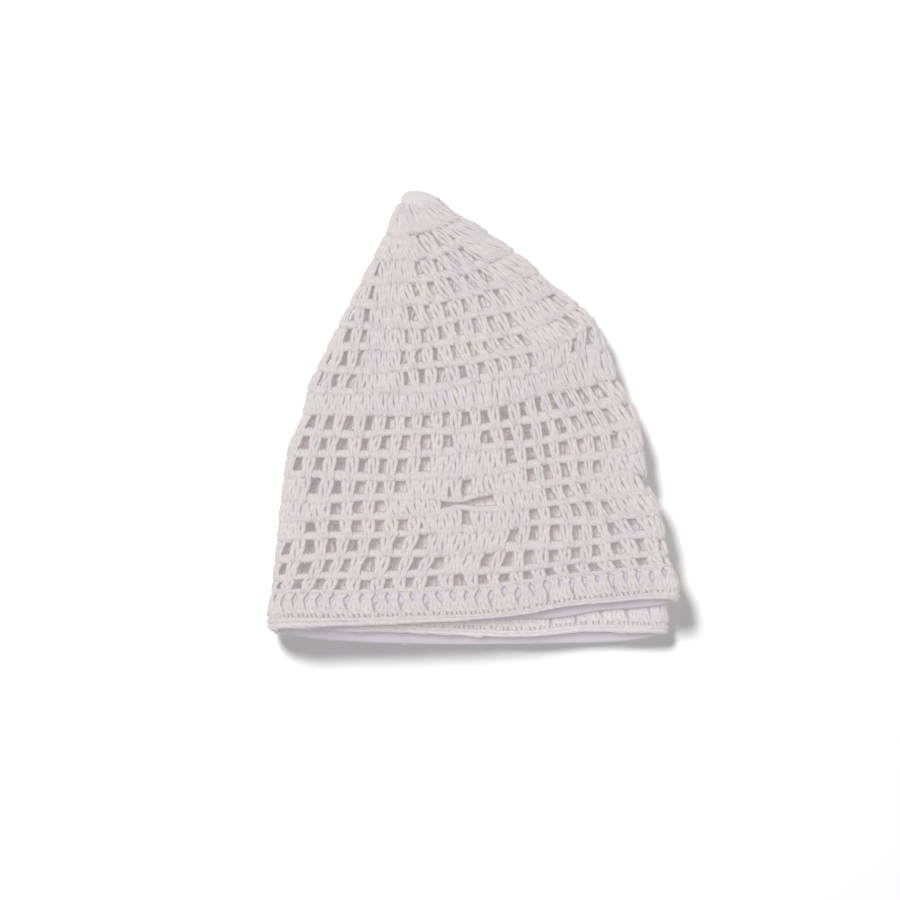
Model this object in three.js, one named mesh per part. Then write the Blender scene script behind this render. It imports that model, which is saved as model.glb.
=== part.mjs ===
import * as THREE from 'three';

// A crocheted kufi folded in quarters and lying flat. Millimetres, +Z up, tip towards +Y.
// The cap is one sheet, read by its column round the head and its row from the crown centre
// down to the hem, and folded into four layers. Layer one is on top and shows its outer face.

// Sizes of the folded cap
const flatWidth = 144.4;
const flatLength = 157.3;
const yarnWall = 1.8;
const beadRise = 0.35;
const liningThick = 1.0;
const pieceGap = 0.3;

// Rows and columns of the crochet
const columns = 70;
const motifPeriod = 10;
const motifColumn = 9;
const rimRow = 9;
const hemRow = 18;
const ribRow = 19;
const edgeRow = 20;
const lastRow = 21;

// How the layers stand apart: the two pockets inside the cap and the valley between the lips
const tipPocket = 3.0;
const mouthPocket = 9.4;
const valley = 2.8;
const innerFold = 14.5;
const crownInnerFold = 10;
const pillowRise = 0.8;
const tipSquash = 0.45;
const tipTopTurn = 0.7;
const hemDrop = 13;
const lowerLipShort = 2.8;

// Columns at which the layers turn: upper right fold, inner left fold, lower right fold
const upperTurn = 18;
const upperTurnSlant = 0.6;
const innerTurn = 35;
const lowerTurn = 51.6;

// Windows of the net, as shares of one column and one row
const windowWide = 0.48;
const windowTall = 0.6;
const firstCut = 2;
const lastCut = 16;

// Fold lines of the top layer, as shares of the flat width and length, one line per section
const foldLines = [
  { row: 0, left: 0.335, leftUp: 0.987, midUp: 0.993, right: 0.385, rightUp: 0.991 },
  { row: 0.5, left: 0.308, leftUp: 0.960, midUp: 0.962, right: 0.436, rightUp: 0.978 },
  { row: 1, left: 0.289, leftUp: 0.914, midUp: 0.916, right: 0.472, rightUp: 0.951 },
  { row: 3, left: 0.229, leftUp: 0.803, midUp: 0.812, right: 0.600, rightUp: 0.867 },
  { row: 5, left: 0.173, leftUp: 0.704, midUp: 0.712, right: 0.704, rightUp: 0.785 },
  { row: 7, left: 0.120, leftUp: 0.606, midUp: 0.619, right: 0.798, rightUp: 0.708 },
  { row: 9, left: 0.087, leftUp: 0.511, midUp: 0.518, right: 0.848, rightUp: 0.591 },
  { row: 11, left: 0.048, leftUp: 0.420, midUp: 0.423, right: 0.904, rightUp: 0.480 },
  { row: 13, left: 0.034, leftUp: 0.319, midUp: 0.327, right: 0.920, rightUp: 0.376 },
  { row: 15, left: 0.024, leftUp: 0.228, midUp: 0.250, right: 0.954, rightUp: 0.281 },
  { row: 17, left: 0.014, leftUp: 0.144, midUp: 0.157, right: 0.969, rightUp: 0.192 },
  { row: 18, left: 0.010, leftUp: 0.113, midUp: 0.122, right: 0.981, rightUp: 0.166 },
  { row: 19, left: 0.005, leftUp: 0.097, midUp: 0.106, right: 0.990, rightUp: 0.150 },
  { row: 20, left: 0.000, leftUp: 0.066, midUp: 0.071, right: 0.998, rightUp: 0.115 },
  { row: 21, left: 0.005, leftUp: 0.031, midUp: 0.051, right: 0.993, rightUp: 0.093 },
];

// How far each column's hem hangs below the top layer's hem line, as shares of hemDrop
const hemLine = [
  { column: 0, drop: 0.08 },
  { column: 2, drop: 0 },
  { column: 11, drop: 0 },
  { column: 13.7, drop: -0.15 },
  { column: 15.5, drop: -0.14 },
  { column: 17.2, drop: -0.11 },
  { column: 19.5, drop: 0.09 },
  { column: 22.4, drop: 0.07 },
  { column: 24.1, drop: 0.15 },
  { column: 25.8, drop: 0.09 },
  { column: 31, drop: 0.05 },
  { column: 35, drop: 0.10 },
  { column: 36.8, drop: 0.20 },
  { column: 39, drop: 0.29 },
  { column: 43.4, drop: 0.56 },
  { column: 45.2, drop: 0.64 },
  { column: 47.8, drop: 0.65 },
  { column: 51.6, drop: 0.90 },
  { column: 53.5, drop: 0.97 },
  { column: 56.9, drop: 0.85 },
  { column: 61.5, drop: 0.68 },
  { column: 65.8, drop: 0.49 },
  { column: 68, drop: 0.33 },
  { column: 70, drop: 0.08 },
];

const clamp = (value, low, high) => Math.min(Math.max(value, low), high);
const mix = (from, to, share) => from + (to - from) * share;
const ease = (share) => {
  const t = clamp(share, 0, 1);
  return t * t * (3 - 2 * t);
};

// Smooth reading of one column of a table at a place between its lines
function readTable(table, placeName, place, name) {
  let line = 0;
  while (line < table.length - 2 && place > table[line + 1][placeName]) line += 1;
  const from = table[line];
  const to = table[line + 1];
  const before = table[Math.max(line - 1, 0)];
  const after = table[Math.min(line + 2, table.length - 1)];
  const step = to[placeName] - from[placeName];
  const t = clamp((place - from[placeName]) / step, 0, 1);
  const fromSlope = (to[name] - before[name]) / (to[placeName] - before[placeName]) * step;
  const toSlope = (after[name] - from[name]) / (after[placeName] - from[placeName]) * step;
  return from[name] * (1 - t) * (1 - t) * (1 + 2 * t) + to[name] * t * t * (3 - 2 * t)
    + fromSlope * t * (1 - t) * (1 - t) - toSlope * t * t * (1 - t);
}

// The outer half of the wall is thicker at the ribs and at the chain edge
function outerHalf(row) {
  const ribs = ease((row - ribRow + 0.2) / 0.4);
  const chain = ease((row - edgeRow) / 0.3) * ease((lastRow + 0.1 - row) / 0.5);
  return yarnWall / 2 + beadRise * (0.5 * ribs + 0.5 * chain);
}

// Widths and heights of the folded section at one row
function sectionAt(row) {
  const left = (readTable(foldLines, 'row', row, 'left') - 0.5) * flatWidth + yarnWall / 2;
  const right = (readTable(foldLines, 'row', row, 'right') - 0.5) * flatWidth - yarnWall / 2;
  const down = Math.pow(Math.min(row / hemRow, 1), 1.3);
  const pocket = mix(tipPocket, mouthPocket, down);
  const taper = mix(tipSquash, 1, ease(row));
  const width = right - left;
  const height = (2 * pocket + valley) * taper;
  return {
    row,
    left,
    width,
    pocket,
    height,
    floor: outerHalf(row),
    pitch: width / 17.4,
    leftBow: Math.min(0.42 * height, 0.22 * width),
    inner: Math.min(mix(crownInnerFold, innerFold, down), width * 0.75),
    turn: upperTurn + upperTurnSlant * clamp((row - rimRow) / (lastRow - rimRow), 0, 1),
    lowerWidth: width - lowerLipShort * down,
    leftUp: readTable(foldLines, 'row', row, 'leftUp'),
    midUp: readTable(foldLines, 'row', row, 'midUp'),
    rightUp: readTable(foldLines, 'row', row, 'rightUp'),
    dropped: hemDrop * Math.pow(row / lastRow, 1.6),
  };
}

// One layer between two quarter turns, from column a to column b
function layer(column, a, b, start, end) {
  const room = b - a;
  const startCols = Math.min(start.cols, room * 0.4);
  const endCols = Math.min(end.cols, room * 0.4);
  if (column < a + startCols) {
    const turn = (column - a) / startCols * Math.PI / 2;
    return {
      x: start.x + start.bow * (1 - Math.cos(turn)),
      z: start.z + start.rise * Math.sin(turn),
    };
  }
  if (column > b - endCols) {
    const turn = (b - column) / endCols * Math.PI / 2;
    return { x: end.x + end.bow * (1 - Math.cos(turn)), z: end.z + end.rise * Math.sin(turn) };
  }
  const share = (column - a - startCols) / (room - startCols - endCols);
  return {
    x: mix(start.x + start.bow, end.x + end.bow, share),
    z: mix(start.z + start.rise, end.z + end.rise, share),
  };
}

const turnCols = (bow, rise, pitch) => (
  Math.PI / 2 * Math.sqrt((bow * bow + rise * rise) / 2) / pitch
);

// Across and height of the folded section at a column
function foldedSection(column, section) {
  const { width, height, pocket, pitch, leftBow, inner, turn, lowerWidth } = section;
  const half = pocket / 2;
  const innerHalf = valley / 2;
  const leftRise = height / 2;
  const turnOf = (x, z, bow, rise) => ({
    x, z, bow, rise, cols: turnCols(bow, rise, pitch),
  });
  const innerZ = height / 2;
  let place;
  if (column < turn) {
    place = layer(column, 0, turn, turnOf(0, leftRise, leftBow, leftRise),
      turnOf(width, height - half, -half, half));
  } else if (column < innerTurn) {
    place = layer(column, turn, innerTurn, turnOf(width, height - half, -half, -half),
      turnOf(inner, innerZ, innerHalf, innerHalf));
  } else if (column < lowerTurn) {
    place = layer(column, innerTurn, lowerTurn, turnOf(inner, innerZ, innerHalf, -innerHalf),
      turnOf(lowerWidth, half, -half, half));
  } else {
    place = layer(column, lowerTurn, columns, turnOf(lowerWidth, half, -half, -half),
      turnOf(0, leftRise, leftBow, -leftRise));
  }
  if (column < turn) {
    const across = clamp(place.x / width, 0, 1);
    place.z += pillowRise * Math.sin(Math.PI * across) ** 2 * ease(section.row / 3);
  }
  return place;
}

// Angle round the small closed section at the tip
function tipAngle(column) {
  const turn = tipTopTurn * Math.PI;
  if (column < upperTurn) return column / upperTurn * turn;
  if (column < lowerTurn) {
    return mix(turn, 2 * Math.PI - turn, (column - upperTurn) / (lowerTurn - upperTurn));
  }
  return mix(2 * Math.PI - turn, 2 * Math.PI, (column - lowerTurn) / (columns - lowerTurn));
}

// Middle of the sheet at a column and row
function sheetPoint(column, row) {
  const at = ((column % columns) + columns) % columns;
  const section = sectionAt(row);
  const folded = foldedSection(at, section);
  const round = tipAngle(at);
  const open = ease(row / 1.4);
  const x = mix(section.width / 2 * (1 - Math.cos(round)), folded.x, open);
  const z = mix(section.height / 2 * (1 + Math.sin(round)), folded.z, open);
  const s = clamp(x / section.width, 0, 1);
  const up = section.leftUp * (1 - s) * (1 - 2 * s) + section.midUp * 4 * s * (1 - s)
    + section.rightUp * s * (2 * s - 1);
  const drop = readTable(hemLine, 'column', at, 'drop') * section.dropped;
  return new THREE.Vector3(section.left + x, (up - 0.5) * flatLength - drop, section.floor + z);
}

// Outward direction of the sheet
function outwardAt(column, row) {
  const reach = 0.05;
  const upper = Math.max(row - reach, 0);
  const lower = Math.min(row + reach, lastRow);
  const round = sheetPoint(column + reach, row).sub(sheetPoint(column - reach, row));
  const down = sheetPoint(column, lower).sub(sheetPoint(column, upper));
  return down.cross(round).normalize();
}

// A closed shell along the sheet between two offsets, with some of its cells cut out
function sheetShell(columnLines, rowLines, outer, inner, isCut, closedTip) {
  const points = [];
  const faces = [];
  const across = columnLines.length;
  const along = rowLines.length;
  const put = (point) => points.push(point) - 1;
  const layerOf = (offset) => rowLines.map((row) => columnLines.map((column) => (
    put(sheetPoint(column, row).addScaledVector(outwardAt(column, row), offset(row)))
  )));
  const outside = layerOf(outer);
  const inside = layerOf(inner);
  const quad = (a, b, c, d) => faces.push([a, b, c], [a, c, d]);
  const next = (i) => (i + 1) % across;
  for (let j = 0; j < along - 1; j += 1) {
    for (let i = 0; i < across; i += 1) {
      const k = next(i);
      if (isCut(i, j)) {
        quad(outside[j][k], outside[j][i], inside[j][i], inside[j][k]);
        quad(outside[j + 1][i], outside[j + 1][k], inside[j + 1][k], inside[j + 1][i]);
        quad(outside[j][i], outside[j + 1][i], inside[j + 1][i], inside[j][i]);
        quad(outside[j + 1][k], outside[j][k], inside[j][k], inside[j + 1][k]);
      } else {
        quad(outside[j][i], outside[j + 1][i], outside[j + 1][k], outside[j][k]);
        quad(inside[j][i], inside[j][k], inside[j + 1][k], inside[j + 1][i]);
      }
    }
  }
  const end = along - 1;
  for (let i = 0; i < across; i += 1) {
    const k = next(i);
    quad(outside[end][i], inside[end][i], inside[end][k], outside[end][k]);
    if (!closedTip) quad(outside[0][k], inside[0][k], inside[0][i], outside[0][i]);
  }
  if (closedTip) {
    const middleOf = (ring) => ring.reduce(
      (sum, index) => sum.add(points[index]), new THREE.Vector3()).divideScalar(across);
    const outsideTip = put(middleOf(outside[0]).add(new THREE.Vector3(0, yarnWall * 0.5, 0)));
    const insideTip = put(middleOf(inside[0]).add(new THREE.Vector3(0, yarnWall * 0.1, 0)));
    for (let i = 0; i < across; i += 1) {
      const k = next(i);
      faces.push([outside[0][i], outside[0][k], outsideTip]);
      faces.push([inside[0][k], inside[0][i], insideTip]);
    }
  }
  const geometry = new THREE.BufferGeometry();
  geometry.setAttribute('position', new THREE.Float32BufferAttribute(
    points.flatMap((point) => [point.x, point.y, point.z]), 3));
  geometry.setIndex(faces.flat());
  geometry.computeVertexNormals();
  return geometry;
}

// Filled squares of the diamond motif: the distance from the motif's column, row by row
const filledSquares = [
  [], [0], [-1, 0, 1], [-2, -1, 1, 2], [-3, -2, 0, 2, 3], [-2, -1, 1, 2], [-1, 0, 1], [0], [],
];

function isWindow(column, netRow) {
  const away = ((column - motifColumn + 5) % motifPeriod + motifPeriod) % motifPeriod - 5;
  return !filledSquares[netRow].includes(away);
}

// Column lines: a pair per window on the top layer, closer ones at the turns, few elsewhere
const hiddenLines = [
  18.15, 18.7, 19.3, 20.5, 24, 28, 32, 33.8, 34.5, 34.8, 35, 35.2, 35.5, 36.2, 38, 42, 46, 49.5,
  50.9, 51.4, 51.9, 52.5, 54, 58, 62, 66, 67.6, 68.5, 69.4,
];
const netColumns = [0, 0.4];
for (let column = 1; column <= 17; column += 1) {
  netColumns.push(column - windowWide / 2, column + windowWide / 2);
}
netColumns.push(...hiddenLines);

const plainColumns = [0, 0.4, 0.8, 1.3, 1.9, 2.8, 4, 5.5, 7, 8.5, 10, 11.5, 13, 14.5, 16, 17,
  17.6, ...hiddenLines];

// Row lines
const crownRows = [0, 0.2, 0.45, 0.7, 1, 1.4, 2, 3, 4, 5, 6, 7, 8, rimRow - 0.02];
const netRows = [];
for (let row = rimRow; row < hemRow; row += 1) {
  netRows.push(row === rimRow ? row + 0.02 : row + (1 - windowTall) / 2, row + (1 + windowTall) / 2);
}
netRows.splice(1, 0, rimRow + (1 - windowTall) / 2);
netRows.push(hemRow - 0.03);
const hemRows = [hemRow + 0.06, 18.6, 19, 19.4, 19.8, edgeRow, 20.3, 20.7, lastRow];
const liningRows = [18.4, 19.3, 20.2, lastRow];

const notCut = () => false;
function netCut(lineAcross, lineAlong) {
  const column = Math.round((netColumns[lineAcross] + windowWide / 2) * 100) / 100;
  const onWindow = Number.isInteger(column) && column >= firstCut && column <= lastCut;
  const netRow = (lineAlong - 1) / 2;
  return onWindow && Number.isInteger(netRow) && isWindow(column, netRow);
}

const plainInner = () => -yarnWall / 2;
const yarn = () => new THREE.MeshStandardMaterial({ color: 0xe2dde2, roughness: 0.85, metalness: 0 });
const cloth = () => new THREE.MeshStandardMaterial({ color: 0xcdc5d6, roughness: 0.8, metalness: 0 });

const kufi = new THREE.Group();
kufi.name = 'kufi';

function addPiece(name, geometry, material) {
  const mesh = new THREE.Mesh(geometry, material);
  mesh.name = name;
  kufi.add(mesh);
}

// Crown: the closed centre, the open rounds and the solid round at the rim
addPiece('crown', sheetShell(plainColumns, crownRows, outerHalf, plainInner, notCut, true), yarn());

// Side: nine rows of net, cut through on the layer that shows
addPiece('side_net', sheetShell(netColumns, netRows, outerHalf, plainInner, netCut, false), yarn());

// Hem: a dense row, the ribs and the chain edge
addPiece('hem_band', sheetShell(plainColumns, hemRows, outerHalf, plainInner, notCut, false), yarn());

// Lining: a smooth cloth strip inside the hem
addPiece('lining_strip', sheetShell(plainColumns, liningRows,
  () => -yarnWall / 2 - pieceGap, () => -yarnWall / 2 - pieceGap - liningThick, notCut, false),
cloth());

// The origin is under the middle of the folded cap
const bounds = new THREE.Box3().setFromObject(kufi);
const centre = bounds.getCenter(new THREE.Vector3());
for (const piece of kufi.children) {
  piece.geometry.translate(-centre.x, -centre.y, -bounds.min.z);
}

export default kufi;
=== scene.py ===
import math
import bpy
import numpy as np
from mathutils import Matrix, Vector


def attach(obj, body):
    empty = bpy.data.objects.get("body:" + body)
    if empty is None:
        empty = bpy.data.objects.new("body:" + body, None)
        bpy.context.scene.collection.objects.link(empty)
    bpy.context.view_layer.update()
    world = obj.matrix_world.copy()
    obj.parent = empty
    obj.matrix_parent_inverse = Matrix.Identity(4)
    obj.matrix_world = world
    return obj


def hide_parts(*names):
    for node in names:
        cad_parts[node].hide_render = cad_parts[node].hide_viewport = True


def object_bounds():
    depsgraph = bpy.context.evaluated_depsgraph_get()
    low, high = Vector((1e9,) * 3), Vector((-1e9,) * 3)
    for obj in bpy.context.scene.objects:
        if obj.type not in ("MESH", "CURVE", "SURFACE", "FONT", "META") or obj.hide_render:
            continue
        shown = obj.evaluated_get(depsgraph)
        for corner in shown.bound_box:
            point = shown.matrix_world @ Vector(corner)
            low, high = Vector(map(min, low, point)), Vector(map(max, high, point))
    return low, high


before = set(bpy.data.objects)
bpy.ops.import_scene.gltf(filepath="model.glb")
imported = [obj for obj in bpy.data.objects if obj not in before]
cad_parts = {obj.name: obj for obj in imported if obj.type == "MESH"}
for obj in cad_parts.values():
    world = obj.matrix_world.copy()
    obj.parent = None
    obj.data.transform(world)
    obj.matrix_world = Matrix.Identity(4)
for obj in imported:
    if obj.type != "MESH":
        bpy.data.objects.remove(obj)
cadBox = [[float(n) for n in corner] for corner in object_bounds()]
print("frame loaded")

# The cap is one crocheted sheet. Everything on it is placed by its column round the head,
# its row from the crown centre to the hem, and its height above the middle of the sheet.
cap = {
    "flatWidth": 144.4, "flatLength": 157.3, "shift": [0.0, 0.0],
    "wall": 1.8, "bead": 0.35,
    "columns": 70, "topColumns": 17.4, "hemRow": 18, "lastRow": 21, "rimRow": 9,
    "tipPocket": 3.0, "mouthPocket": 9.4, "valley": 2.8,
    "innerFold": 14.5, "crownInnerFold": 10.0, "pillow": 0.8,
    "tipSquash": 0.45, "tipTopTurn": 0.7, "hemDrop": 13.0, "lowerShort": 2.8,
    "upperTurn": 18.0, "upperSlant": 0.6, "innerTurn": 35.0, "lowerTurn": 51.6,
}

# row, left, left up, middle up, right, right up: shares of the flat width and length
foldLines = np.array([
    (0, 0.335, 0.987, 0.993, 0.385, 0.991),
    (0.5, 0.308, 0.960, 0.962, 0.436, 0.978),
    (1, 0.289, 0.914, 0.916, 0.472, 0.951),
    (3, 0.229, 0.803, 0.812, 0.600, 0.867),
    (5, 0.173, 0.704, 0.712, 0.704, 0.785),
    (7, 0.120, 0.606, 0.619, 0.798, 0.708),
    (8, 0.096, 0.560, 0.571, 0.826, 0.654),
    (9, 0.087, 0.511, 0.518, 0.848, 0.591),
    (11, 0.048, 0.420, 0.423, 0.904, 0.480),
    (13, 0.034, 0.319, 0.327, 0.920, 0.376),
    (15, 0.024, 0.228, 0.250, 0.954, 0.281),
    (17, 0.014, 0.144, 0.157, 0.969, 0.192),
    (18, 0.010, 0.113, 0.122, 0.981, 0.166),
    (19, 0.005, 0.097, 0.106, 0.990, 0.150),
    (20, 0.000, 0.066, 0.071, 0.998, 0.115),
    (21, 0.005, 0.031, 0.051, 0.993, 0.093),
])

# column, how far its hem hangs below the top layer's hem line, as a share of hemDrop
hemLine = np.array([
    (0, 0.08), (2, 0), (11, 0), (13.7, -0.15), (15.5, -0.14), (17.2, -0.11), (19.5, 0.09),
    (22.4, 0.07), (24.1, 0.15), (25.8, 0.09), (31, 0.05), (35, 0.10), (36.8, 0.20),
    (39, 0.29), (43.4, 0.56), (45.2, 0.64), (47.8, 0.65), (51.6, 0.93), (53.5, 1.02),
    (56.9, 0.89), (61.5, 0.70), (65.8, 0.49), (68, 0.33), (70, 0.08),
])


def ease(share):
    t = np.clip(share, 0, 1)
    return t * t * (3 - 2 * t)


def mix(start, end, share):
    return start + (end - start) * share


def readTable(table, name, place):
    # smooth reading between the lines of a table
    at = table[:, 0]
    line = np.clip(np.searchsorted(at, place) - 1, 0, len(at) - 2)
    before, after = np.maximum(line - 1, 0), np.minimum(line + 2, len(at) - 1)
    value = table[:, name]
    step = at[line + 1] - at[line]
    t = np.clip((place - at[line]) / step, 0, 1)
    startSlope = (value[line + 1] - value[before]) / (at[line + 1] - at[before]) * step
    endSlope = (value[after] - value[line]) / (at[after] - at[line]) * step
    return (value[line] * (1 - t) ** 2 * (1 + 2 * t) + value[line + 1] * t * t * (3 - 2 * t)
            + startSlope * t * (1 - t) ** 2 - endSlope * t * t * (1 - t))


def turnAt(x, z, bow, rise, pitch):
    # a quarter turn of a fold, with the columns that it takes
    return {"x": x, "z": z, "bow": bow, "rise": rise,
            "cols": math.pi / 2 * np.sqrt((bow * bow + rise * rise) / 2) / pitch}


def layerPlace(column, start, end, first, last):
    # one layer: it comes out of its first turn, lies flat, and goes into its last turn
    room = end - start
    firstCols = np.minimum(first["cols"], room * 0.4)
    lastCols = np.minimum(last["cols"], room * 0.4)
    share = (column - start - firstCols) / (room - firstCols - lastCols)
    x = mix(first["x"] + first["bow"], last["x"] + last["bow"], share)
    z = mix(first["z"] + first["rise"], last["z"] + last["rise"], share)
    turn = (column - start) / firstCols * math.pi / 2
    inFirst = column < start + firstCols
    x = np.where(inFirst, first["x"] + first["bow"] * (1 - np.cos(turn)), x)
    z = np.where(inFirst, first["z"] + first["rise"] * np.sin(turn), z)
    turn = (end - column) / lastCols * math.pi / 2
    inLast = column > end - lastCols
    x = np.where(inLast, last["x"] + last["bow"] * (1 - np.cos(turn)), x)
    z = np.where(inLast, last["z"] + last["rise"] * np.sin(turn), z)
    return x, z


def sheetPoint(column, row):
    # middle of the folded sheet, in millimetres
    column = np.mod(column, cap["columns"])
    row = np.clip(row, 0, cap["lastRow"] + 0.4)
    wall, last = cap["wall"], cap["lastRow"]
    left = (readTable(foldLines, 1, row) - 0.5) * cap["flatWidth"] + wall / 2
    right = (readTable(foldLines, 4, row) - 0.5) * cap["flatWidth"] - wall / 2
    down = np.minimum(row / cap["hemRow"], 1) ** 1.3
    pocket = mix(cap["tipPocket"], cap["mouthPocket"], down)
    width = right - left
    height = (2 * pocket + cap["valley"]) * mix(cap["tipSquash"], 1, ease(row))
    pitch = width / cap["topColumns"]
    leftBow = np.minimum(0.42 * height, 0.22 * width)
    inner = np.minimum(mix(cap["crownInnerFold"], cap["innerFold"], down), width * 0.75)
    upper = cap["upperTurn"] + cap["upperSlant"] * np.clip(
        (row - cap["rimRow"]) / (last - cap["rimRow"]), 0, 1)
    lowerWidth = width - cap["lowerShort"] * down
    half, lip = pocket / 2, cap["valley"] / 2 + 0 * row
    outUp = turnAt(0 * row, height / 2, leftBow, height / 2, pitch)
    outDown = turnAt(0 * row, height / 2, leftBow, -height / 2, pitch)
    topIn = turnAt(width, height - half, -half, half, pitch)
    topOut = turnAt(width, height - half, -half, -half, pitch)
    valleyIn = turnAt(inner, height / 2, lip, lip, pitch)
    valleyOut = turnAt(inner, height / 2, lip, -lip, pitch)
    lowIn = turnAt(lowerWidth, half, -half, half, pitch)
    lowOut = turnAt(lowerWidth, half, -half, -half, pitch)
    layers = [
        layerPlace(column, 0 * row, upper, outUp, topIn),
        layerPlace(column, upper, cap["innerTurn"] + 0 * row, topOut, valleyIn),
        layerPlace(column, cap["innerTurn"] + 0 * row, cap["lowerTurn"] + 0 * row, valleyOut, lowIn),
        layerPlace(column, cap["lowerTurn"] + 0 * row, cap["columns"] + 0 * row, lowOut, outDown),
    ]
    on = [column < upper, column < cap["innerTurn"], column < cap["lowerTurn"]]
    x = np.select(on, [place[0] for place in layers[:3]], layers[3][0])
    z = np.select(on, [place[1] for place in layers[:3]], layers[3][1])
    across = np.clip(x / width, 0, 1)
    z = z + np.where(on[0], cap["pillow"] * np.sin(math.pi * across) ** 2 * ease(row / 3), 0)
    # close to the tip the section is a small closed oval
    turn = cap["tipTopTurn"] * math.pi
    roundTurn = np.interp(column, [0, cap["upperTurn"], cap["lowerTurn"], cap["columns"]],
                       [0, turn, 2 * math.pi - turn, 2 * math.pi])
    opened = ease(row / 1.4)
    x = mix(width / 2 * (1 - np.cos(roundTurn)), x, opened)
    z = mix(height / 2 * (1 + np.sin(roundTurn)), z, opened)
    s = np.clip(x / width, 0, 1)
    up = (readTable(foldLines, 2, row) * (1 - s) * (1 - 2 * s)
          + readTable(foldLines, 3, row) * 4 * s * (1 - s)
          + readTable(foldLines, 5, row) * s * (2 * s - 1))
    drop = readTable(hemLine, 1, column) * cap["hemDrop"] * (row / last) ** 1.6
    ribs = ease((row - 18.8) / 0.4)
    chain = ease((row - 20) / 0.3) * ease((last + 0.1 - row) / 0.5)
    floor = wall / 2 + cap["bead"] * (0.5 * ribs + 0.5 * chain)
    return np.stack([left + x + cap["shift"][0],
                     (up - 0.5) * cap["flatLength"] - drop + cap["shift"][1],
                     floor + z], axis=-1)


def outward(column, row):
    # the way out of the cap, from two short steps along the sheet
    reach = 0.05
    around = sheetPoint(column + reach, row) - sheetPoint(column - reach, row)
    lower, upper = np.minimum(row + reach, cap["lastRow"]), np.maximum(row - reach, 0)
    down = sheetPoint(column, lower) - sheetPoint(column, upper)
    out = np.cross(down, around)
    return out / np.maximum(np.linalg.norm(out, axis=-1, keepdims=True), 1e-9)


# the solids were centred once folded, so the scene's sheet takes the same place
columnSteps, rowSteps = np.linspace(0, cap["columns"], 561), np.linspace(0, cap["lastRow"], 169)
grid = [n.ravel() for n in np.meshgrid(columnSteps, rowSteps)]
skins = np.concatenate([
    sheetPoint(*grid) + side * cap["wall"] / 2 * outward(*grid) for side in (-1, 1)])
for axis in (0, 1):
    line = skins[:, axis]
    cadMiddle = 1000 * (cadBox[0][axis] + cadBox[1][axis]) / 2
    cap["shift"][axis] = cadMiddle - (line.min() + line.max()) / 2
print("sheet placed", cap["shift"])


def foldSheet(column, row, height):
    # metres from column, row and height; past the last row the sheet goes straight on
    step, table = 0.2, 0.02
    over = np.maximum(row - cap["lastRow"], 0)[:, None]
    row = np.minimum(row, cap["lastRow"])
    point = sheetPoint(column, row) + outward(column, row) * height[:, None]
    edge = sheetPoint(column, row) - sheetPoint(column, row - step)
    point = point + edge / step * over
    point[:, 2] = np.maximum(point[:, 2], table)     # the yarn is pressed flat on the table
    return point * 0.001


def clearSelection():
    if bpy.context.object and bpy.context.object.mode != "OBJECT":
        bpy.ops.object.mode_set(mode="OBJECT")
    bpy.ops.object.select_all(action="DESELECT")


def makeStrand(name, route, thick):
    # one strand of yarn: a path drawn through the route, rounded and turned to a mesh
    clearSelection()
    bpy.ops.curve.primitive_nurbs_path_add()
    strand = bpy.context.object
    strand.name = name
    bpy.ops.object.mode_set(mode="EDIT")
    bpy.ops.curve.spline_type_set(type="POLY")
    bpy.ops.object.mode_set(mode="OBJECT")
    line = strand.data.splines[0]
    line.points.add(len(route) - len(line.points))
    for point, place in zip(line.points, route):
        point.co = (*place, 1)
    strand.data.dimensions = "3D"
    strand.data.bevel_depth = thick / 2
    strand.data.bevel_resolution = 1
    bpy.ops.object.convert(target="MESH")
    bpy.ops.object.mode_set(mode="EDIT")
    bpy.ops.mesh.select_all(action="SELECT")
    bpy.ops.mesh.fill_holes(sides=0)
    bpy.ops.object.mode_set(mode="OBJECT")
    mesh = strand.data
    places = np.empty(len(mesh.vertices) * 3)
    mesh.vertices.foreach_get("co", places)
    faces = [tuple(face.vertices) for face in mesh.polygons]
    sides = len(mesh.vertices) // len(route)
    ring = np.arange(len(mesh.vertices)) // sides
    spot = np.arange(len(mesh.vertices)) % sides * 2 * math.pi / sides
    steps = [math.dist(a, b) for a, b in zip(route, route[1:])]
    along = np.concatenate([[0], np.cumsum(steps)])[ring]
    ply = np.stack([np.cos(spot), np.sin(spot), along], axis=-1)
    bpy.data.objects.remove(strand)
    bpy.data.meshes.remove(mesh)
    return {"places": places.reshape(-1, 3), "faces": faces, "ply": ply}


def joinStrands(strands):
    # the strands of one stitch as one list of places, with where each face starts
    places, faces, ply, start = [], [], [], 0
    for strand in strands:
        places.append(strand["places"])
        ply.append(strand["ply"])
        faces += [tuple(n + start for n in face) for face in strand["faces"]]
        start += len(strand["places"])
    places = np.concatenate(places)
    return {"places": places, "ply": np.concatenate(ply), "start": np.cumsum(
        [0] + [len(face) for face in faces])[:-1], "corners": np.concatenate(faces)}


# a stitch is modelled in millimetres, in a cell of the net, and pressed flat
stitch = {"yarn": 1.7, "spread": 1.33, "curl": 0.33, "flat": 0.86, "cell": 7.5, "row": 7.5,
          "ribYarn": 1.35, "hookYarn": 1.25, "linkYarn": 1.36, "edgeYarn": 2.2, "seed": 11}

# one strand of a post: down the row, height, share of the spread, share of the tail
postRoute = [
    (0.7, -1.1, 0.86, 0.0), (1.7, -0.1, 0.97, 0.0), (2.9, 0.2, 1.0, 0.0), (4.3, 0.28, 1.0, 0.05),
    (5.8, 0.32, 1.0, 0.2), (7.2, 0.38, 1.0, 0.6), (8.6, -0.45, 0.95, 1.0),
]


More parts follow.
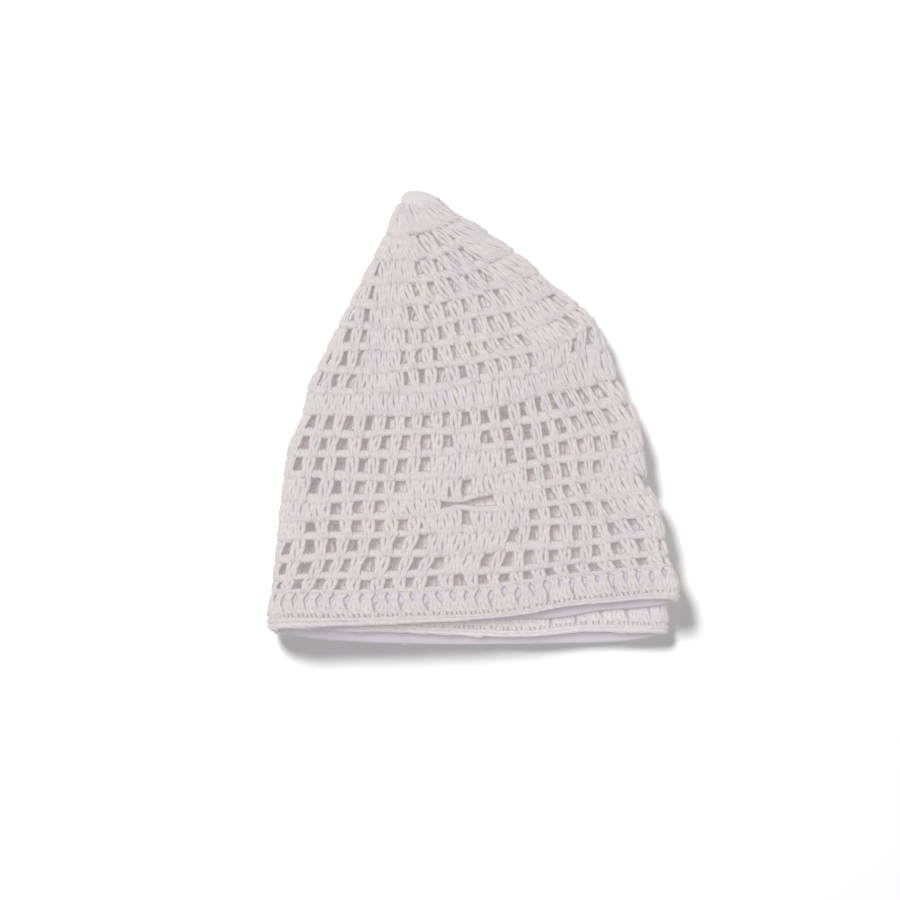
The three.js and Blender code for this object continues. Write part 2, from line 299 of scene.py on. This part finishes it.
def postStrands(bend, tail, turns, phase):
    # three strands side by side that curl round each other a little, come out under
    # one chain and run over the next
    strands = []
    for n in (-1, 0, 1):
        route = []
        for y, z, share, late in postRoute:
            t = y / stitch["row"]
            angle = phase + 2.1 * n + 2 * math.pi * turns * t      # a third of a turn apart
            x = n * stitch["spread"] * share + bend * math.sin(math.pi * t) + tail * late
            route.append((x + stitch["curl"] * math.sin(angle), y, z + stitch["curl"] * math.cos(angle)))
        strands.append(makeStrand("strand", route, stitch["yarn"]))
    return joinStrands(strands)


# some ways the hand leaves a post, picked at random
postShapes = [postStrands(*way) for way in (
    (0.14, 0.75, 0.9, 0.0), (-0.24, 1.1, -0.8, 1.5), (0.05, 0.4, 1.1, 3.0), (0.25, 0.9, 0.7, 4.2),
    (-0.1, 0.15, 1.0, 5.2), (0.0, 0.6, -1.0, 2.3))]
# the ribs of the hem: three strands, drawn together above, spread and hooked to each other below
ribRoute = [(0.0, 1.2, -0.5), (0.8, 1.1, 0.2), (1.6, 0.68, 0.3), (2.6, 0.52, 0.35), (3.6, 0.6, 0.35),
            (4.7, 1.1, 0.4), (6.3, 1.42, 0.3), (8.1, 1.3, -0.4)]
ribShapes = [joinStrands([
    makeStrand("rib", [(side * wide + lean * math.sin(y), y, z) for y, wide, z in ribRoute],
               stitch["ribYarn"])
    for side in (-1, 0, 1)]
    + [makeStrand("hook", [(-1.8, 4.6, -0.5), (-1.3, 5.6, 0.4), (-0.2, 6.5, 0.75), (0.8, 6.3, 0.6),
                           (1.5, 5.1, -0.2)], stitch["hookYarn"])])
    for lean in (0.35, -0.2, 0.5)]
# the links of a chain lie across its line, three to half a column
linkShapes = [joinStrands([
    makeStrand("link", [(x - 0.9, -1.15 * lay, -0.6), (x - 0.1, -0.75 * lay, -0.05),
                        (x + 0.8, 0.05, 0.12), (x + 1.7, 0.75 * lay, 0.0),
                        (x + 2.5, 1.15 * lay, -0.6)], stitch["linkYarn"])
    for x in (0.0, 1.25, 2.5)])
    for lay in (1.3, 1.0, 1.15)]
edgeShapes = [joinStrands([
    makeStrand("edge", [(-3.2, -0.35, -0.4), (-1.2, -0.2, 0.1), (1.9, 0.0, 0.2), (5.0, 0.2, 0.1),
                        (7.0, 0.3, -0.4)], stitch["edgeYarn"])])]
print("stitches modelled")


# Pulls on the net, which bring its holes to the photo's places
# column, how far the side net and the crown are pulled sideways there, in millimetres
pullAcross = np.array([
    (0, 0, -0.8), (1.5, 1.5, -0.8), (4, 2.2, -1.2), (6.4, 2.6, -1.4), (8, 2.8, 0.4),
    (10.5, 3.8, 3.4), (12, 3.2, 4.2), (13, 2.3, 4.5), (14, 0.9, 4.7), (15, -0.7, 4.9),
    (16, -2.1, 5.1), (17, -3.0, 5.3), (18, -1.5, 5.0), (20, 0, 3.0), (24, 0, 0), (64, 0, 0),
    (68, 0, -0.5), (70, 0, -0.8),
])
# row, share of that pull, share of the crown's pull in it, and a pull of the whole row
pullDown = np.array([
    (0, 0, 0.3, 0), (1, 0.5, 0.4, 0), (2.5, 0.75, 0.7, 0), (3.5, 0.85, 1, 0), (4.5, 0.95, 1, 0),
    (5.4, 0.65, 1, 0), (6.4, 0.45, 1, 0), (7.5, 1, 0.35, 0), (8.5, 1, 0, 0), (14.5, 1, 0, 0),
    (15.5, 0.8, 0, 0), (16.5, 0.35, 0, -0.3), (17.5, 0.1, 0, -1.4), (19, 0, 0, -0.9),
    (21, 0, 0, 0),
])
# two stretches of the right half hang down: how many rows, at which row, over how many rows,
# and the columns between which the sag grows; both end before the fold
sags = ((0.32, 6.3, 1.6, 10, 14), (0.24, 15.9, 1.3, 11.5, 13.5))
sagEnd = {"column": 17.3, "fade": 2.5}
# the slit in the middle of a diamond: its row, how far it closes, columns and rows it takes
slit = {"row": 13.5, "pull": 0.85, "wide": 0.75, "tall": 0.8}
motif = {"every": 10, "column": 9, "middle": 4}


def columnWidth(row):
    # millimetres that one column takes round the folded cap at this row
    span = readTable(foldLines, 4, row) - readTable(foldLines, 1, row)
    return (span * cap["flatWidth"] - cap["wall"]) / cap["topColumns"]


def motifAway(column):
    # columns from the middle of the nearest diamond
    half = motif["every"] / 2
    return np.mod(column - motif["column"] + half, motif["every"]) - half


def swayColumn(column, row):
    # the net isn't quite regular: posts and chains sway a little together
    sway = 0.05 * np.sin(1.7 * column + 0.6 * row) + 0.04 * np.sin(0.9 * column - 1.3 * row + 2)
    place = np.clip(column, 0, cap["columns"])
    sidePull, crownPull = readTable(pullAcross, 1, place), readTable(pullAcross, 2, place)
    across = mix(sidePull, crownPull, readTable(pullDown, 2, row))
    onTop = ease(column / 2) * ease((18.5 - column) / 2)
    moved = across * readTable(pullDown, 1, row) + onTop * readTable(pullDown, 3, row)
    return sway * ease(row / 4) + moved / columnWidth(row)


def swayRow(column, row):
    sway = 0.035 * np.sin(1.1 * column + 2.3 * row) + 0.03 * np.sin(0.63 * column - 1.9 * row + 1)
    fade = ease((sagEnd["column"] - column) / sagEnd["fade"])
    for deep, middle, tall, start, end in sags:
        down = deep * np.exp(-((row - middle) / tall) ** 2)
        sway = sway + down * ease((column - start) / (end - start)) * fade
    return sway * ease(row / 4) * ease((21.6 - row) / 2)


def pinch(column, row):
    # the two chains beside the middle row of each diamond are drawn together at its centre
    across = np.exp(-(motifAway(column) / slit["wide"]) ** 2)
    down = np.exp(-((row - slit["row"]) / slit["tall"]) ** 2)
    return slit["pull"] * across * (slit["row"] - row) * down


# how uneven the hand is: least and most width, and the spread of lean, side, lift and tilt
hand = {"narrow": 0.97, "wide": 1.06, "lean": 0.05, "side": 0.08, "lift": 0.09, "tilt": 0.05}
# the right half of the top layer leans more, between these columns
slant = {"lean": 0.15, "from": 10, "grows": 5, "until": 19, "fades": 2}


def workStitches(name, shapes, spots):
    # copies one stitch to every spot of the sheet, folds them, and joins them in one mesh
    # a spot: column, row, columns per millimetre, rows per millimetre, height, lean
    chance = np.random.default_rng(stitch["seed"] + len(spots))
    shape = shapes[0]
    count, size = len(spots), len(shape["places"])
    spotColumn, spotRow, wide, tall, height, lean = np.array(spots, dtype=float).T[..., None]
    picked = np.stack([one["places"] for one in shapes])[chance.integers(len(shapes), size=count)]
    x, y, z = picked[..., 0], picked[..., 1], picked[..., 2] * stitch["flat"]
    wide = wide * chance.uniform(hand["narrow"], hand["wide"], (count, 1))
    slope = slant["lean"] * ease((spotColumn - slant["from"]) / slant["grows"])
    slope = slope * ease((slant["until"] - spotColumn) / slant["fades"])
    lean = lean + slope + chance.normal(0, hand["lean"], (count, 1))
    lean = lean + 0.05 * np.sin(0.45 * spotColumn + 1.3 * spotRow)
    side = chance.normal(0, hand["side"], (count, 1))
    lift = chance.normal(0, hand["lift"], (count, 1))
    tilt = chance.normal(0, hand["tilt"], (count, 1))
    column = spotColumn + (x + lean * y + side) * wide
    row = spotRow + (y + tilt * x) * tall
    high = height + z + lift
    column, row = column + swayColumn(column, row), row + swayRow(column, row)
    row = row + pinch(column, row)
    places = foldSheet(column.ravel(), row.ravel(), high.ravel())
    loops = len(shape["corners"])
    corners = (shape["corners"][None, :] + size * np.arange(count)[:, None]).ravel()
    starts = (shape["start"][None, :] + loops * np.arange(count)[:, None]).ravel()
    mesh = bpy.data.meshes.new(name)
    mesh.vertices.add(count * size)
    mesh.vertices.foreach_set("co", places.ravel())
    mesh.loops.add(count * loops)
    mesh.loops.foreach_set("vertex_index", corners.astype(np.int32))
    mesh.polygons.add(len(starts))
    mesh.polygons.foreach_set("loop_start", starts.astype(np.int32))
    mesh.update(calc_edges=True)
    ply = mesh.attributes.new("ply", "FLOAT_VECTOR", "POINT")
    ply.data.foreach_set("vector", np.tile(shape["ply"], (count, 1)).ravel())
    tone = mesh.attributes.new("tone", "FLOAT", "POINT")
    tone.data.foreach_set("value", np.repeat(chance.uniform(0, 1, count), size))
    # 1 on the layers under the top one, 0 on the top layer: where the yarn gets more painted glow
    innerGlowMask = mesh.attributes.new("innerGlowMask", "FLOAT", "POINT")
    innerGlowMask.data.foreach_set("value", (ease(column - 17) * ease(70.5 - column)).ravel())
    mesh.validate()
    piece = bpy.data.objects.new(name, mesh)
    bpy.context.collection.objects.link(piece)
    clearSelection()
    piece.select_set(True)
    bpy.context.view_layer.objects.active = piece
    bpy.ops.object.shade_smooth()
    print(name, count, "stitches", len(starts), "faces")
    return piece


# The chart of the side net: filled squares of one diamond, by distance from its column
diamond = [(), (0,), (-1, 0, 1), (-2, -1, 1, 2), (-3, -2, 2, 3), (-2, -1, 1, 2), (-1, 0, 1), (0,), ()]
foldColumns = (66, 67, 68, 69, 0)       # closed squares along the left fold and under it
# The crown: seven sectors with a solid spoke each, and one solid round at the rim
crown = {"holes": (8, 8, 7, 6, 5, 4, 3), "sectors": 7, "spokeColumn": 4.5, "firstRow": 7,
         "rimWide": 1.04, "widest": 1.0, "narrowest": 0.83, "narrower": 0.012, "reach": 6.6,
         "lean": 0.06, "centreStitches": 35, "centreWide": 0.72, "centreHigh": 0.1,
         "centreLean": 0.45}
sectorColumns = cap["columns"] // crown["sectors"]
perMm, rowPerMm = 1 / stitch["cell"], 1 / stitch["row"]
halfColumns = [half / 2 for half in range(2 * cap["columns"])]


def sidePosts():
    # a post between two columns everywhere but in the slit, and one more in each filled square
    spots = []
    for netRow, filled in enumerate(diamond):
        top = cap["rimRow"] + netRow
        for column in range(cap["columns"]):
            away = motifAway(column)
            if not (netRow == motif["middle"] and away in (-1, 0)):
                spots.append((column + 0.5, top, perMm, rowPerMm, 0.0, 0.0))
            if away in filled or column in foldColumns:
                spots.append((column, top, perMm, rowPerMm, 0.0, 0.0))
    return spots


def linkRound(row):
    return [(column, row, perMm, rowPerMm, 0.0, 0.0) for column in halfColumns]


def crownPosts():
    spots = [(column, cap["rimRow"] - 1, perMm * crown["rimWide"], rowPerMm, 0.0, 0.0)
             for column in halfColumns]
    for level, holes in enumerate(crown["holes"]):
        cell = sectorColumns / (holes + 2)
        row = crown["firstRow"] - level
        unit = columnWidth(row + 0.5)
        least = crown["narrowest"] - crown["narrower"] * level
        wide = min(crown["widest"], max(least, cell * unit / crown["reach"])) / unit
        lean = crown["lean"] * level
        columns = [69.5, 0, 0.5]        # closed squares at the left fold
        for sector in range(crown["sectors"]):
            centre = crown["spokeColumn"] + sectorColumns * sector
            columns += [centre + n * cell for n in (*range(holes + 2), -0.5, 0.5)]
        spots += [(column, row, wide, rowPerMm, 0.0, lean) for column in columns]
    spots += [(2 * n, 0, crown["centreWide"], rowPerMm, crown["centreHigh"], crown["centreLean"])
              for n in range(crown["centreStitches"])]
    return spots


def crownLinks():
    spots = linkRound(cap["rimRow"])
    for level, holes in enumerate(crown["holes"]):
        cell = sectorColumns / (holes + 2)
        spots += [(n * cell / 2, crown["firstRow"] + 1 - level, perMm * cell, rowPerMm, 0.0, 0.0)
                  for n in range(2 * crown["sectors"] * (holes + 2))]
    return spots + [(2 * n, 1, perMm * 4, rowPerMm, 0.0, 0.0)
                    for n in range(crown["centreStitches"])]


crownPostPiece = workStitches("crown_posts", postShapes, crownPosts())
crownLinkPiece = workStitches("crown_chains", linkShapes, crownLinks())
sidePostPiece = workStitches("side_posts", postShapes, sidePosts())
sideLinkPiece = workStitches("side_chains", linkShapes, [
    spot for row in range(cap["rimRow"] + 1, cap["hemRow"]) for spot in linkRound(row)])

# Tip: the drawn-in ring of the crown, a small soft knob that the first stitches come out of
tip = {"row": 0.35, "long": 10.6, "tall": 5.6, "high": 0.7, "down": 5.9, "turn": -0.5, "across": 3.4}
ring = sheetPoint(np.arange(cap["columns"] + 1.0), np.full(cap["columns"] + 1, tip["row"]))
low, high = ring.min(axis=0), ring.max(axis=0)
centre = ((low[0] + high[0]) / 2 + tip["across"], 1000 * cadBox[1][1] - tip["down"],
          (low[2] + high[2]) / 2)
clearSelection()
bpy.ops.mesh.primitive_uv_sphere_add(segments=36, ring_count=18, radius=0.001)
tipPiece = bpy.context.object
tipPiece.name = "crown_tip"
tipPiece.scale = (tip["long"], tip["tall"], (high[2] - low[2]) / 2 + tip["high"])
tipPiece.rotation_euler = (0, 0, tip["turn"])
tipPiece.location = [place / 1000 for place in centre]
bpy.ops.object.transform_apply(location=True, rotation=True, scale=True)
bpy.ops.object.shade_smooth()

# Hem: a chain, the ribs and the two smooth lines of the edge
hem = {"ribRow": 18.15, "ribs": 124, "ribWide": 3.75, "ribTall": 0.28,
       "edgeRows": (20.47, 20.8), "edgeTall": 5.8, "edgeHigh": 0.2}
ribPitch = cap["columns"] / hem["ribs"]
hemRibPiece = workStitches("hem_ribs", ribShapes, [
    (n * ribPitch, hem["ribRow"], ribPitch / hem["ribWide"], hem["ribTall"], 0.0, 0.0)
    for n in range(hem["ribs"])])
hemLinkPiece = workStitches("hem_chains", linkShapes, linkRound(cap["hemRow"]))
hemEdgePiece = workStitches("hem_edge", edgeShapes, [
    (column, row, perMm, 1 / hem["edgeTall"], hem["edgeHigh"], 0.0)
    for row in hem["edgeRows"] for column in halfColumns])
print("net worked and folded")

# Lining: a cloth strip inside the hem, cut as a grid, folded with the cap and given its wall
lining = {"top": 18.3, "bottom": 21.02, "offset": -1.35, "wave": 0.12, "ripple": 0.06, "thick": 0.7,
          "around": 560, "across": 14, "long": 560.0, "deep": 12.5}
clearSelection()
bpy.ops.mesh.primitive_grid_add(
    x_subdivisions=lining["around"], y_subdivisions=lining["across"], size=1)
liningPiece = bpy.context.object
liningPiece.name = "lining_cloth"
liningMesh = liningPiece.data
flat = np.empty(len(liningMesh.vertices) * 3)
liningMesh.vertices.foreach_get("co", flat)
flat = flat.reshape(-1, 3) + 0.5
column = flat[:, 0] * cap["columns"]
row = mix(lining["bottom"], lining["top"], flat[:, 1])
waves = (lining["wave"] * np.sin(column * 1.9) * np.sin(column * 0.7 + 1)
         + lining["ripple"] * np.sin(column * 5.3))
places = foldSheet(column, row, lining["offset"] + waves)
liningMesh.vertices.foreach_set("co", places.ravel())
liningMesh.update()
bpy.ops.object.mode_set(mode="EDIT")
bpy.ops.mesh.select_all(action="SELECT")
bpy.ops.mesh.remove_doubles(threshold=0.00001)
bpy.ops.mesh.normals_make_consistent(inside=False)
bpy.ops.object.mode_set(mode="OBJECT")
solidify = liningPiece.modifiers.new("wall", "SOLIDIFY")
solidify.thickness = lining["thick"] / 1000
solidify.offset = 0
bpy.ops.object.modifier_apply(modifier="wall")
bpy.ops.object.shade_smooth()
print("lining folded")


def addNode(tree, kind, place, **values):
    node = tree.nodes.new(kind)
    node.location = place
    for name, value in values.items():
        setattr(node, name, value)
    return node


def makeYarnGroup():
    # plies of a twisted yarn along a strand, with fine fibres over them: the attribute ply holds
    # the way round the strand in X and Y, and the millimetres along it in Z
    group = bpy.data.node_groups.new("yarnPly", "ShaderNodeTree")
    face = group.interface
    for name, value in (("Plies", 2.0), ("Turns per mm", 0.2), ("Fibre", 0.5)):
        socket = face.new_socket(name=name, in_out="INPUT", socket_type="NodeSocketFloat")
        socket.default_value = value
    face.new_socket(name="Height", in_out="OUTPUT", socket_type="NodeSocketFloat")
    face.new_socket(name="Groove", in_out="OUTPUT", socket_type="NodeSocketFloat")
    into = addNode(group, "NodeGroupInput", (-1200, 0))
    out = addNode(group, "NodeGroupOutput", (700, 0))
    strand = addNode(group, "ShaderNodeAttribute", (-1200, 300), attribute_name="ply")
    parts = addNode(group, "ShaderNodeSeparateXYZ", (-1000, 300))
    angle = addNode(group, "ShaderNodeMath", (-800, 300), operation="ARCTAN2")
    turns = addNode(group, "ShaderNodeMath", (-800, 100), operation="MULTIPLY")
    full = addNode(group, "ShaderNodeMath", (-600, 100), operation="MULTIPLY")
    full.inputs[1].default_value = 2 * math.pi
    lay = addNode(group, "ShaderNodeMath", (-400, 250), operation="ADD")
    plies = addNode(group, "ShaderNodeMath", (-200, 250), operation="MULTIPLY")
    wave = addNode(group, "ShaderNodeMath", (0, 250), operation="SINE")
    half = addNode(group, "ShaderNodeMath", (150, 250), operation="MULTIPLY_ADD")
    half.inputs[1].default_value = 0.5
    half.inputs[2].default_value = 0.5
    where = addNode(group, "ShaderNodeTexCoord", (-800, -200))
    fibre = addNode(group, "ShaderNodeTexNoise", (-400, -200))
    fibre.inputs["Scale"].default_value = 2600
    fibre.inputs["Detail"].default_value = 3
    fuzz = addNode(group, "ShaderNodeMath", (0, -100), operation="MULTIPLY")
    total = addNode(group, "ShaderNodeMath", (350, 100), operation="ADD")
    link = group.links.new
    link(strand.outputs["Vector"], parts.inputs[0])
    link(parts.outputs["Y"], angle.inputs[0])
    link(parts.outputs["X"], angle.inputs[1])
    link(parts.outputs["Z"], turns.inputs[0])
    link(into.outputs["Turns per mm"], turns.inputs[1])
    link(turns.outputs[0], full.inputs[0])
    link(angle.outputs[0], lay.inputs[0])
    link(full.outputs[0], lay.inputs[1])
    link(lay.outputs[0], plies.inputs[0])
    link(into.outputs["Plies"], plies.inputs[1])
    link(plies.outputs[0], wave.inputs[0])
    link(wave.outputs[0], half.inputs[0])
    link(where.outputs["Object"], fibre.inputs["Vector"])
    link(fibre.outputs["Fac"], fuzz.inputs[0])
    link(into.outputs["Fibre"], fuzz.inputs[1])
    link(half.outputs[0], total.inputs[0])
    link(fuzz.outputs[0], total.inputs[1])
    link(total.outputs[0], out.inputs["Height"])
    # Groove, the wave of the plies, is low between them, where the yarn material paints shade
    link(half.outputs[0], out.inputs["Groove"])
    return group


def makeCloudGroup():
    # slow change of tone over the cap
    group = bpy.data.node_groups.new("toneCloud", "ShaderNodeTree")
    face = group.interface
    size = face.new_socket(name="Scale", in_out="INPUT", socket_type="NodeSocketFloat")
    size.default_value = 60
    face.new_socket(name="Cloud", in_out="OUTPUT", socket_type="NodeSocketFloat")
    into = addNode(group, "NodeGroupInput", (-600, 0))
    out = addNode(group, "NodeGroupOutput", (300, 0))
    where = addNode(group, "ShaderNodeTexCoord", (-600, 200))
    cloud = addNode(group, "ShaderNodeTexNoise", (-200, 100))
    cloud.inputs["Detail"].default_value = 4
    group.links.new(where.outputs["Object"], cloud.inputs["Vector"])
    group.links.new(into.outputs["Scale"], cloud.inputs["Scale"])
    group.links.new(cloud.outputs["Fac"], out.inputs["Cloud"])
    return group


yarnGroup, cloudGroup = makeYarnGroup(), makeCloudGroup()

# tones are linear colours; the glow is painted light, in which the yarn and the cloth glow in their own
# tone, and outside is the share of it on the top layer; the darkest yarn tone serves the fibres' random
# dark and the painted shade between the plies
yarnFinish = {"light": (0.68, 0.635, 0.65), "cool": (0.61, 0.57, 0.64), "warm": (0.69, 0.645, 0.6),
              "fibreToneAndGrooveShade": (0.54, 0.49, 0.51), "rough": 0.8, "sheen": 0.15, "bump": 0.35, "paintedGlow": 0.25,
              "outside": 0.72}
liningFinish = {"light": (0.58, 0.545, 0.585), "dark": (0.45, 0.415, 0.46), "rough": 0.6, "sheen": 0.15,
                "paintedGlow": 0.37, "thread": 0.62}       # thread: its width in millimetres


def makeYarnMaterial():
    material = bpy.data.materials.new("cottonYarn")
    material.use_nodes = True
    tree = material.node_tree
    shader = tree.nodes["Principled BSDF"]
    shader.inputs["Roughness"].default_value = yarnFinish["rough"]
    shader.inputs["Sheen Weight"].default_value = yarnFinish["sheen"]
    shader.inputs["Sheen Roughness"].default_value = 0.5
    # painted light: the yarn glows in its own tone, though it is no lamp
    shader.inputs["Emission Strength"].default_value = yarnFinish["paintedGlow"]
    # the layers under the top one glow more than the top layer: more painted light on them
    innerGlowMask = addNode(tree, "ShaderNodeAttribute", (-400, 700), attribute_name="innerGlowMask")
    innerGlowShare = addNode(tree, "ShaderNodeMapRange", (-200, 700))
    innerGlowShare.inputs["To Min"].default_value = yarnFinish["outside"]
    paintedGlowTone = addNode(tree, "ShaderNodeMix", (0, 500), data_type="RGBA")
    paintedGlowTone.inputs["A"].default_value = (0, 0, 0, 1)
    fibre = addNode(tree, "ShaderNodeGroup", (-900, 100))
    fibre.node_tree = cloudGroup
    fibre.inputs["Scale"].default_value = 1500
    fibreShare = addNode(tree, "ShaderNodeMapRange", (-650, 150))
    fibreShare.inputs["From Min"].default_value = 0.35
    fibreShare.inputs["From Max"].default_value = 0.6
    fibreShare.inputs["To Min"].default_value = 0.6
    # the fine fibres darken at random towards the darkest yarn tone, their own random tone
    fibreTone = addNode(tree, "ShaderNodeMix", (0, 200), data_type="RGBA")
    fibreTone.inputs["A"].default_value = (*yarnFinish["fibreToneAndGrooveShade"], 1)
    ply = addNode(tree, "ShaderNodeGroup", (-900, -200))
    ply.node_tree = yarnGroup
    cloud = addNode(tree, "ShaderNodeGroup", (-900, 300))
    cloud.node_tree = cloudGroup
    tone = addNode(tree, "ShaderNodeAttribute", (-900, 500), attribute_name="tone")
    stitchTone = addNode(tree, "ShaderNodeMix", (-600, 400), data_type="RGBA")
    stitchTone.inputs["A"].default_value = (*yarnFinish["light"], 1)
    stitchTone.inputs["B"].default_value = (*yarnFinish["cool"], 1)
    cloudTone = addNode(tree, "ShaderNodeMix", (-350, 300), data_type="RGBA")
    cloudTone.inputs["B"].default_value = (*yarnFinish["warm"], 1)
    # painted shade: the yarn darkens towards its darkest tone in the grooves between the plies
    grooveShadeTone = addNode(tree, "ShaderNodeMix", (-150, 200), data_type="RGBA")
    grooveShadeTone.inputs["A"].default_value = (*yarnFinish["fibreToneAndGrooveShade"], 1)
    grooveShadeShare = addNode(tree, "ShaderNodeMapRange", (-500, 0))
    grooveShadeShare.inputs["From Max"].default_value = 0.35
    grooveShadeShare.inputs["To Min"].default_value = 0.55
    bump = addNode(tree, "ShaderNodeBump", (-300, -300))
    bump.inputs["Strength"].default_value = yarnFinish["bump"]
    bump.inputs["Distance"].default_value = 0.00012
    link = tree.links.new
    link(tone.outputs["Fac"], stitchTone.inputs["Factor"])
    link(stitchTone.outputs["Result"], cloudTone.inputs["A"])
    link(cloud.outputs["Cloud"], cloudTone.inputs["Factor"])
    link(cloudTone.outputs["Result"], grooveShadeTone.inputs["B"])
    link(ply.outputs["Groove"], grooveShadeShare.inputs["Value"])
    link(grooveShadeShare.outputs["Result"], grooveShadeTone.inputs["Factor"])
    link(fibre.outputs["Cloud"], fibreShare.inputs["Value"])
    link(fibreShare.outputs["Result"], fibreTone.inputs["Factor"])
    link(grooveShadeTone.outputs["Result"], fibreTone.inputs["B"])
    link(fibreTone.outputs["Result"], shader.inputs["Base Color"])
    link(innerGlowMask.outputs["Fac"], innerGlowShare.inputs["Value"])
    link(innerGlowShare.outputs["Result"], paintedGlowTone.inputs["Factor"])
    link(fibreTone.outputs["Result"], paintedGlowTone.inputs["B"])
    link(paintedGlowTone.outputs["Result"], shader.inputs["Emission Color"])
    link(ply.outputs["Height"], bump.inputs["Height"])
    link(bump.outputs["Normal"], shader.inputs["Normal"])
    return material


def makeLiningMaterial():
    material = bpy.data.materials.new("liningCloth")
    material.use_nodes = True
    tree = material.node_tree
    shader = tree.nodes["Principled BSDF"]
    shader.inputs["Roughness"].default_value = liningFinish["rough"]
    shader.inputs["Sheen Weight"].default_value = liningFinish["sheen"]
    # painted light: the cloth glows in its own tone, though it is no lamp
    shader.inputs["Emission Strength"].default_value = liningFinish["paintedGlow"]
    cloud = addNode(tree, "ShaderNodeGroup", (-700, 200))
    cloud.node_tree = cloudGroup
    cloud.inputs["Scale"].default_value = 140
    tone = addNode(tree, "ShaderNodeMix", (-400, 200), data_type="RGBA")
    tone.inputs["A"].default_value = (*liningFinish["dark"], 1)
    tone.inputs["B"].default_value = (*liningFinish["light"], 1)
    where = addNode(tree, "ShaderNodeTexCoord", (-1300, -200))
    length = addNode(tree, "ShaderNodeVectorMath", (-1100, -200), operation="MULTIPLY")
    length.inputs[1].default_value = (lining["long"], lining["deep"], 0)
    threads = addNode(tree, "ShaderNodeTexWave", (-800, -100), bands_direction="Y")
    cross = addNode(tree, "ShaderNodeTexWave", (-800, -400), bands_direction="X")
    for wave in (threads, cross):
        # a wave texture of scale 1 has a band every 0.314
        wave.inputs["Scale"].default_value = 0.314 / liningFinish["thread"]
        wave.inputs["Distortion"].default_value = 0.6
    lineTone = addNode(tree, "ShaderNodeMix", (-150, 200), data_type="RGBA")
    lineTone.inputs["A"].default_value = (*liningFinish["dark"], 1)
    weave = addNode(tree, "ShaderNodeMath", (-500, -200), operation="MULTIPLY")
    bump = addNode(tree, "ShaderNodeBump", (-250, -200))
    bump.inputs["Strength"].default_value = 0.3
    bump.inputs["Distance"].default_value = 0.00006
    link = tree.links.new
    link(cloud.outputs["Cloud"], tone.inputs["Factor"])
    link(tone.outputs["Result"], lineTone.inputs["B"])
    link(threads.outputs["Fac"], lineTone.inputs["Factor"])
    link(lineTone.outputs["Result"], shader.inputs["Base Color"])
    link(lineTone.outputs["Result"], shader.inputs["Emission Color"])
    link(where.outputs["UV"], length.inputs[0])
    link(length.outputs[0], threads.inputs["Vector"])
    link(length.outputs[0], cross.inputs["Vector"])
    link(threads.outputs["Fac"], weave.inputs[0])
    link(cross.outputs["Fac"], weave.inputs[1])
    link(weave.outputs[0], bump.inputs["Height"])
    link(bump.outputs["Normal"], shader.inputs["Normal"])
    return material


cottonYarn, liningCloth = makeYarnMaterial(), makeLiningMaterial()
yarnPieces = {
    crownPostPiece: "crown", crownLinkPiece: "crown", sidePostPiece: "side_net",
    sideLinkPiece: "side_net", hemRibPiece: "hem_band",
    hemLinkPiece: "hem_band", hemEdgePiece: "hem_band", tipPiece: "crown",
}
for piece, node in yarnPieces.items():
    piece.data.materials.append(cottonYarn)
    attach(piece, "root")
    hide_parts(node)
liningMesh = liningPiece.data
liningMesh.materials.append(liningCloth)
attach(liningPiece, "root")
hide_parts("lining_strip")
print("materials laid")

# Floor, light and camera
studio = {"aside": (-0.0081, -0.0120), "view": 0.3132, "far": 1.15, "plane": 0.018, "sensor": 36,
          "floorGlow": 0.06, "ambient": 0.33, "key": 21.0, "shadowKey": 32.0}
clearSelection()
bpy.ops.mesh.primitive_plane_add(size=6)
floor = bpy.context.object
floor.name = "floor"
floorPaint = bpy.data.materials.new("paleFloor")
floorPaint.use_nodes = True
floorShader = floorPaint.node_tree.nodes["Principled BSDF"]
floorShader.inputs["Base Color"].default_value = (0.93, 0.93, 0.93, 1)
floorShader.inputs["Roughness"].default_value = 0.9
floorShader.inputs["Emission Color"].default_value = (1, 1, 1, 1)
floorShader.inputs["Emission Strength"].default_value = studio["floorGlow"]
floor.data.materials.append(floorPaint)

world = bpy.data.worlds.new("studio")
bpy.context.scene.world = world
world.use_nodes = True
world.node_tree.nodes["Background"].inputs["Color"].default_value = (1, 1, 1, 1)
world.node_tree.nodes["Background"].inputs["Strength"].default_value = studio["ambient"]


def addLight(name, place, size, power, lit):
    # an area light that aims at the cap and lights only the objects in its list
    clearSelection()
    bpy.ops.object.light_add(type="AREA", location=place)
    light = bpy.context.object
    light.name = name
    light.data.size = size
    light.data.energy = power
    light.rotation_euler = (-Vector(place)).to_track_quat("-Z", "Y").to_euler()
    light.light_linking.receiver_collection = bpy.data.collections.new(name + "_lit")
    for thing in lit:
        light.light_linking.receiver_collection.objects.link(thing)


# a high soft light for the cap, and a lower one that lays its soft shadow on the floor
addLight("key", (-0.3, 0.25, 1.75), 0.6, studio["key"], [*yarnPieces, liningPiece])
addLight("shadow_key", (-0.55, 0.82, 1.52), 0.36, studio["shadowKey"], [floor])

clearSelection()
# the camera looks straight down and sees a square of the given side at the height of the plane
middle = [move / 1000 + aside for move, aside in zip(cap["shift"], studio["aside"])]
bpy.ops.object.camera_add(location=(*middle, studio["far"]), rotation=(0, 0, 0))
camera = bpy.context.object
camera.data.sensor_width = studio["sensor"]
camera.data.lens = studio["sensor"] * (studio["far"] - studio["plane"]) / studio["view"]
bpy.context.scene.camera = camera
bpy.context.scene.view_settings.view_transform = "Standard"
bpy.context.scene.view_settings.look = "None"
